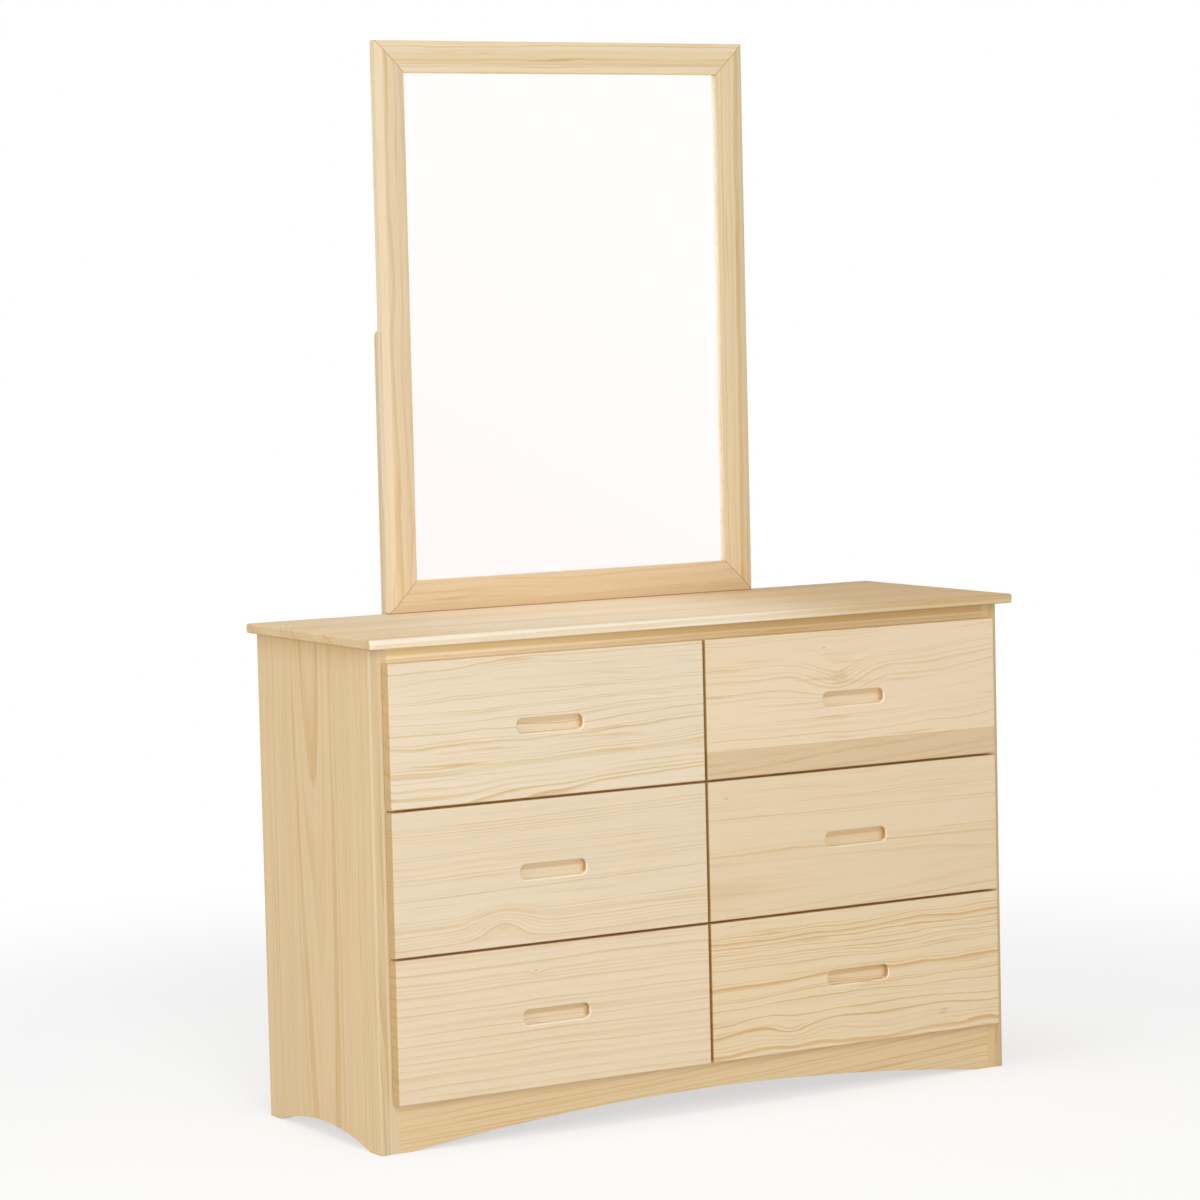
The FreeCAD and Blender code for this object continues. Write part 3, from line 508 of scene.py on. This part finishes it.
def front_mask(place, ends, levels):
    """A front's pull and its thin sides. A painted shade turns the sides in the gaps a warm brown
    towards the back, and a painted light makes the upper edge of the top row, which no front covers, paler."""
    inner, outwards = (ends[1], 1.0) if "left" in place else (ends[0], -1.0)
    top_row = "top" in place

    def mask(along, across, through):
        shown = pull_mask(along - sum(ends) / 2, across - sum(levels) / 2, through)
        if top_row:
            upper = between(levels[1] - EDGE_ROUNDING, levels[1] - SKIN_START, across)
            shown = times(shown, blend(upper, PLAIN, TOP_EDGE_LIGHT))
        beyond = ((along - inner) * outwards).maths("MAXIMUM", levels[0] - across)
        if not top_row:
            beyond = beyond.maths("MAXIMUM", across - levels[1])
        deep = between(FRONT_FACE + EDGE_SHADE_START, FRONT_FACE + EDGE_SHADE_FULL, through)
        return blend(between(-SKIN_START, -SKIN_FULL, beyond) * deep, shown, EDGE_GAP_SHADE)
    return mask


for place, looks in FRONTS.items():
    node = place + "_drawer_front"
    ends, levels = ends_of(node, "X"), ends_of(node, "Z")
    front_pine = pine("pine_" + node, "XZY", ends=ends, mask=front_mask(place, ends, levels), **looks)
    finish_node(node, front_pine)

# Drawer boxes: thinner pine, sanded and left bare, tongued into each other, with a plywood
# bottom let into a groove all round.
BOX_COLOUR = paint(232, 212, 180)
BOX_BOARDS = (("left_side", "YZX", 20), ("right_side", "YZX", 30), ("back", "XZY", 40))
BOTTOM_SEED = 50
for place, looks in FRONTS.items():
    staves = (Stave(0, looks["staves"][0].heart, 30, 0.0, 0.01, 0),)
    for part, grain, seed in BOX_BOARDS:
        node = f"{place}_drawer_{part}"
        bare_pine = pine("pine_" + node, grain, staves, BOX_COLOUR, looks["seed"] + seed, finish=DULL,
                         roughness=0.55, ends=ends_of(node, grain[0]))
        finish_node(node, bare_pine)
    plywood(f"{place}_drawer_bottom", "XYZ", 3, looks["seed"] + BOTTOM_SEED)

# Runners: planed strips of beech, waxed, housed in the panels. Beech is pinkish, in broad pale
# and brown bands, with short brown rays.
RAYS, RAY_START, RAY_FULL, RAY_SHARE = Noise((0.16, 1.3, 0.9), 1.0), 0.25, 0.5, 0.7
BEECH_BANDS = Noise((0.004, 0.06, 0.12), 2.0)
BEECH_PALE, BEECH_BROWN, RAY_BROWN = paint(222, 184, 146), paint(208, 166, 126), paint(170, 118, 82)
BEECH_SHIFT = 300.0
WAXED, WAX_ROUGHNESS, RAY_ROUGHNESS = {"Strength": 0.08, "Distance": 0.0002}, 0.38, 0.1
for place, looks in FRONTS.items():
    beech, start = new_material(f"beech_{place}")
    along, across, through = board_place(start, "YZX")
    spot = spot_at(start, along + looks["seed"] * BEECH_SHIFT, across, through)
    rays = between(RAY_START, RAY_FULL, cloud(spot, RAYS))
    colour = blend(kept(cloud(spot, BEECH_BANDS) * 0.5 + 0.5), BEECH_PALE, BEECH_BROWN)
    colour = blend(rays * RAY_SHARE, colour, RAY_BROWN)
    waxed = start.node("ShaderNodeBump", {}, {**WAXED, "Height": rays * -1.0})
    close(start, base_color=colour, roughness=rays * RAY_ROUGHNESS + WAX_ROUGHNESS, normal=waxed)
    finish_node(f"{place}_runners", beech)

# Mirror frame: one pine moulding, mitred and glued at the corners, with a bevel outside and a
# lip inside. Two flat posts behind carry it, and a sheet of plywood backs the glass.
MIRROR_LEFT, MIRROR_RIGHT = ends_of("mirror_frame_left", "X")[0], ends_of("mirror_frame_right", "X")[1]
MIRROR_BOTTOM, MIRROR_TOP = ends_of("mirror_frame_bottom", "Z")[0], ends_of("mirror_frame_top", "Z")[1]
MEMBER_WIDTH, LIP_WIDTH, LIP_FADE = 52, 15, 1
LIP_WALL_START, LIP_WALL_FULL = 1.3, 1.0
GLUE, MITRE_HALF_GAP, MITRE_FADE = (0.62, 0.48, 0.33), 0.5, 0.5
# Painted light on the outer wall, a painted shadow at the bottom member's foot, and on the top member painted
# light on the lip with painted shade on the face beside it.
OUTER_WALL_LIGHT, WALL_START, WALL_FULL = (1.20, 1.22, 1.28), 0.1, 0.4
FOOT_SHADOW, FOOT_SHADOW_HEIGHT = (0.62, 0.46, 0.28), 1.2
LIP_LIGHT, FACE_SHADE, FACE_FADE = (1.05, 1.08, 1.14), (0.96, 0.91, 0.82), 18
Member = namedtuple("Member", "name grain low high outer heart colour seed wall lip foot")
# The inner wall colours of the top and right members are painted shade.
MEMBERS = (
    Member("bottom", "XZY", MIRROR_LEFT, MIRROR_RIGHT, MIRROR_BOTTOM, 740, paint(218, 193, 157), 50, PLAIN,
           False, True),
    Member("top", "XZY", MIRROR_LEFT, MIRROR_RIGHT, MIRROR_TOP, 1790, paint(223, 203, 168), 51,
           (1.05, 0.86, 0.40), True, False),
    Member("left", "ZXY", MIRROR_BOTTOM, MIRROR_TOP, MIRROR_LEFT, -420, paint(219, 197, 162), 52, PLAIN,
           False, False),
    Member("right", "ZXY", MIRROR_BOTTOM, MIRROR_TOP, MIRROR_RIGHT, 420, paint(219, 198, 160), 53,
           (0.88, 0.93, 1.05), False, False),
)


def mirror_mask(member):
    """The two mitre joints of a member are dark with glue. A painted light makes its outer wall
    paler, and on the bottom member a painted shadow makes the foot brown against the top. Its inner
    wall takes the member's painted shade, where it has one, and where its lip is set off, a painted
    light makes the lip paler and a painted shade makes the face beside it browner."""
    wall_start, wall_full = (LIP_WALL_START, LIP_WALL_FULL) if member.lip else (0, 0)
    foot = FOOT_SHADOW_HEIGHT if member.foot else 0
    step = MEMBER_WIDTH - LIP_WIDTH

    def mask(along, across, through):
        rise = abs(across - member.outer)
        colour = blend(between(WALL_START + foot, WALL_FULL + foot, rise),
                       FOOT_SHADOW if member.foot else OUTER_WALL_LIGHT, PLAIN)
        if member.lip:
            colour = times(colour, blend(between(step - FACE_FADE, step, rise), PLAIN, FACE_SHADE))
            colour = blend(between(step, step + LIP_FADE, rise), colour, LIP_LIGHT)
        inside = between(MEMBER_WIDTH - wall_start - WALL_FULL, MEMBER_WIDTH - wall_full - WALL_START, rise)
        colour = blend(inside, colour, member.wall)
        mitre = abs(along - member.low - rise).maths("MINIMUM", abs(member.high - along - rise))
        return blend(between(MITRE_HALF_GAP, MITRE_HALF_GAP + MITRE_FADE, mitre), GLUE, colour)
    return mask


for member in MEMBERS:
    staves = (Stave(-2000, member.heart, 230, 0.0, 0.012, 0),)
    moulding = pine("pine_mirror_" + member.name, member.grain, staves, member.colour, member.seed, ring=9,
                    wave=9, contrast=0.6, streak=1.0, mask=mirror_mask(member))
    finish_node("mirror_frame_" + member.name, moulding)
POST_STAVES = (Stave(-2000, 0, 260, 0.0, 0.01, 0),)
for name, seed in (("left", 64), ("right", 65)):
    post_pine = pine(f"pine_{name}_post", "ZXY", POST_STAVES, paint(226, 202, 164), seed)
    finish_node(name + "_mirror_post", post_pine)
plywood("mirror_backing", "ZXY", 3, 62)

# Mirror glass: a 4 mm sheet, silvered behind, with the faintest warm tint towards its foot
# and a thin film of dust.
FILM = Noise((0.004, 0.004, 0.004), 2.0)
TINT_FOOT, TINT_HEAD, TINT_LEAN = 839, 1400, 0.5
FOOT_TINT, HEAD_TINT = paint(255, 250, 247), paint(255, 254, 253)
GLASS_ROUGHNESS, FILM_ROUGHNESS = 0.015, 0.01
silver, start = new_material("silvered_glass")
up, across, through = board_place(start, "ZXY")
film = kept(cloud(spot_at(start, up, across, through), FILM))
tint = blend(between(TINT_FOOT, TINT_HEAD, up + across * TINT_LEAN), FOOT_TINT, HEAD_TINT)
close(start, base_color=tint, metallic=1.0, roughness=film * FILM_ROUGHNESS + GLASS_ROUGHNESS)
finish_node("mirror_glass", silver)

# Post screws: countersunk wood screws of zinc-plated steel, with a cross recess and a point.
# Their heads lie flush with the posts, and their shanks hold in the mirror frame and the back.
HEAD_RADIUS, SHANK_RADIUS, HEAD_HEIGHT, POINT_LENGTH = 0.004, 0.002, 0.003, 0.004
RECESS_REACH, RECESS_HALF_SLOT, RECESS_DEPTH, RECESS_TAPER = 0.0025, 0.0006, 0.0017, 0.4
FRAME_SCREW_HEIGHT, BACK_SCREW_HEIGHT = 0.855, 0.740
SCREW_SIDES = 32
MERGE_DISTANCE = 1e-6
SPANGLE = Noise((0.9, 0.9, 0.9), 3.0)
ZINC_DARK, ZINC_PALE = (0.52, 0.52, 0.50), (0.66, 0.66, 0.64)
ZINC_ROUGHNESS, SPANGLE_ROUGHNESS = 0.34, 0.08


def verts_of(parts):
    """The corner points among the parts of a mesh."""
    return [part for part in parts if isinstance(part, bmesh.types.BMVert)]


screw_low, screw_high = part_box("mirror_post_screws")
screw_length = screw_high.y - screw_low.y
mesh = bmesh.new()
outline = [mesh.verts.new((radius, -depth, 0)) for radius, depth in (
    (HEAD_RADIUS, 0), (SHANK_RADIUS, HEAD_HEIGHT),
    (SHANK_RADIUS, screw_length - POINT_LENGTH), (0, screw_length))]
skirt = [mesh.edges.new(pair) for pair in zip(outline, outline[1:])]
bmesh.ops.spin(mesh, geom=outline + skirt, cent=(0, 0, 0), axis=(0, 1, 0), angle=math.tau, steps=SCREW_SIDES,
               use_merge=True)
bmesh.ops.remove_doubles(mesh, verts=mesh.verts, dist=MERGE_DISTANCE)

flat = Matrix.Rotation(math.pi / 2, 4, "X")
slots = bmesh.ops.create_grid(mesh, x_segments=3, y_segments=3, size=RECESS_REACH, matrix=flat)["verts"]
squeeze = RECESS_HALF_SLOT / (RECESS_REACH / 3)
upright_slot = [vert for vert in slots if abs(vert.co.x) < RECESS_REACH / 2]
level_slot = [vert for vert in slots if abs(vert.co.z) < RECESS_REACH / 2]
bmesh.ops.scale(mesh, vec=(squeeze, 1, 1), verts=upright_slot)
bmesh.ops.scale(mesh, vec=(1, 1, squeeze), verts=level_slot)
cells = {face: face.calc_center_median() for vert in slots for face in vert.link_faces}
corners = [face for face, middle in cells.items() if min(abs(middle.x), abs(middle.z)) > RECESS_HALF_SLOT]
arms = [face for face in cells if face not in corners]
bmesh.ops.delete(mesh, geom=corners, context="FACES")
bmesh.ops.triangle_fill(mesh, use_beauty=True, edges=[edge for edge in mesh.edges if edge.is_boundary])
bed = verts_of(bmesh.ops.extrude_face_region(mesh, geom=arms)["geom"])
bmesh.ops.delete(mesh, geom=arms, context="FACES")
bmesh.ops.translate(mesh, vec=(0, -RECESS_DEPTH, 0), verts=bed)
bmesh.ops.scale(mesh, vec=(RECESS_TAPER, 1, RECESS_TAPER), verts=bed)

pattern = mesh.verts[:] + mesh.edges[:] + mesh.faces[:]
heights = (screw_low.z + HEAD_RADIUS, BACK_SCREW_HEIGHT, FRAME_SCREW_HEIGHT, screw_high.z - HEAD_RADIUS)
for side in (-1, 1):
    for height in heights:
        copy = bmesh.ops.duplicate(mesh, geom=pattern)["geom"]
        seat = (side * (screw_high.x - HEAD_RADIUS), screw_high.y, height)
        bmesh.ops.translate(mesh, vec=seat, verts=verts_of(copy))
bmesh.ops.delete(mesh, geom=verts_of(pattern), context="VERTS")
bmesh.ops.recalc_face_normals(mesh, faces=mesh.faces)
skin = bpy.data.meshes.new("post_screws")
mesh.to_mesh(skin)
mesh.free()
screws = bpy.data.objects.new("post_screws", skin)
bpy.context.scene.collection.objects.link(screws)

zinc, start = new_material("zinc_plate")
spangle = cloud(spot_at(start, *board_place(start, "ZXY")), SPANGLE)
colour = blend(kept(spangle * 0.5 + 0.5), ZINC_DARK, ZINC_PALE)
close(start, base_color=colour, metallic=1.0, roughness=spangle * SPANGLE_ROUGHNESS + ZINC_ROUGHNESS)
skin.materials.append(zinc)
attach(screws, "dresser")
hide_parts("mirror_post_screws")

# Floor and surround: a pale floor that keeps the shadow near the dresser and goes over into
# the white surround, which is white only to the eye, in the mirror and through glass.
FLOOR_SPAN = 60.0
FLOOR_GREY, FLOOR_WHITE = (0.62, 0.62, 0.62), (1.0, 1.0, 1.0)
SHADOW_NEAR, SHADOW_FAR = 1.2, 2.6
NEAR_WHITE = 0.62
bpy.ops.mesh.primitive_plane_add(size=FLOOR_SPAN, location=(0, 0, 0))
floor = bpy.context.object
floor.name = "studio_floor"


def seen_directly(start):
    """1 for what the eye, a gloss or glass sees, and 0 for the light on the object."""
    kinds = ("Is Camera Ray", "Is Glossy Ray", "Is Transmission Ray")
    eye, gloss, glass = (start.node("ShaderNodeLightPath", output=kind) for kind in kinds)
    return kept(eye + gloss + glass)


pale, start = new_material("studio_floor")
spread = start.node("ShaderNodeVectorMath", {"operation": "LENGTH"},
                    {0: start.node("ShaderNodeTexCoord", output="Object")}, output="Value")
share = between(SHADOW_NEAR, SHADOW_FAR, spread) * (1 - NEAR_WHITE) + NEAR_WHITE
seen = seen_directly(start)
matt = start.node("ShaderNodeBsdfDiffuse", {}, {"Color": blend(seen, FLOOR_GREY, FLOOR_WHITE)})
white = start.node("ShaderNodeEmission", {}, {"Color": (1, 1, 1, 1), "Strength": 1.0})
both = start.node("ShaderNodeMixShader", {}, {0: seen * share, 1: matt, 2: white})
start.node("ShaderNodeOutputMaterial", {}, {"Surface": both})
floor.data.materials.append(pale)

AMBIENT = 0.50
world = bpy.data.worlds.new("studio")
bpy.context.scene.world = world
world.use_nodes = True
world.node_tree.nodes.clear()
start = Shade(world.node_tree)
ambient = start.node("ShaderNodeBackground", {}, {"Color": (1, 1, 1, 1), "Strength": AMBIENT})
backdrop = start.node("ShaderNodeBackground", {}, {"Color": (1, 1, 1, 1), "Strength": 1.0})
both = start.node("ShaderNodeMixShader", {}, {0: seen_directly(start), 1: ambient, 2: backdrop})
start.node("ShaderNodeOutputWorld", {}, {"Surface": both})

# Lamps: four soft squares. Two stand in front, one high and one low, a weaker one stands on
# the left, and one hangs overhead.
Lamp = namedtuple("Lamp", "name place aim size power")
LAMPS = (
    Lamp("front_lamp", (-2.4, -7.6, 4.2), (0, 0, 0.8), 2.5, 150),
    Lamp("low_lamp", (-3.0, -7.6, 1.2), (0, 0, 0.8), 2.5, 195),
    Lamp("left_lamp", (-5.5, -1.4, 2.0), (0, 0, 0.7), 2.5, 75),
    Lamp("overhead_lamp", (-0.8, -0.4, 5.5), (0, 0, 0.8), 2.0, 50),
)
for lamp in LAMPS:
    light = bpy.data.lights.new(lamp.name, "AREA")
    light.shape = "SQUARE"
    light.size = lamp.size
    light.energy = lamp.power
    holder = bpy.data.objects.new(lamp.name, light)
    bpy.context.scene.collection.objects.link(holder)
    holder.location = lamp.place
    holder.rotation_euler = (Vector(lamp.aim) - Vector(lamp.place)).to_track_quat("-Z", "Y").to_euler()

# Camera: it stands where the photograph was taken from, solved from the corners in it, with
# the focal length that goes with that place.
CAMERA_PLACE = (-3.3952, -5.6240, 1.3241)
CAMERA_YAW, CAMERA_PITCH, CAMERA_ROLL = 30.642, 4.479, -1.336
FOCAL_PIXELS = 4046.0
PICTURE_PIXELS = 1200
SENSOR_WIDTH = 36.0
camera = bpy.data.objects.new("camera", bpy.data.cameras.new("camera"))
bpy.context.scene.collection.objects.link(camera)
bpy.context.scene.camera = camera
yaw, pitch, roll = (math.radians(angle) for angle in (CAMERA_YAW, CAMERA_PITCH, CAMERA_ROLL))
ahead = Vector((math.sin(yaw) * math.cos(pitch), math.cos(yaw) * math.cos(pitch), -math.sin(pitch)))
right = Vector((math.cos(yaw), -math.sin(yaw), 0))
up = right.cross(ahead)
right_edge = right * math.cos(roll) + up * math.sin(roll)
up_edge = up * math.cos(roll) - right * math.sin(roll)
turn = Matrix((right_edge, up_edge, -ahead)).transposed()
camera.matrix_world = Matrix.Translation(CAMERA_PLACE) @ turn.to_4x4()
camera.data.sensor_width = SENSOR_WIDTH
camera.data.lens = FOCAL_PIXELS / PICTURE_PIXELS * SENSOR_WIDTH
bpy.context.scene.view_settings.view_transform = "Standard"
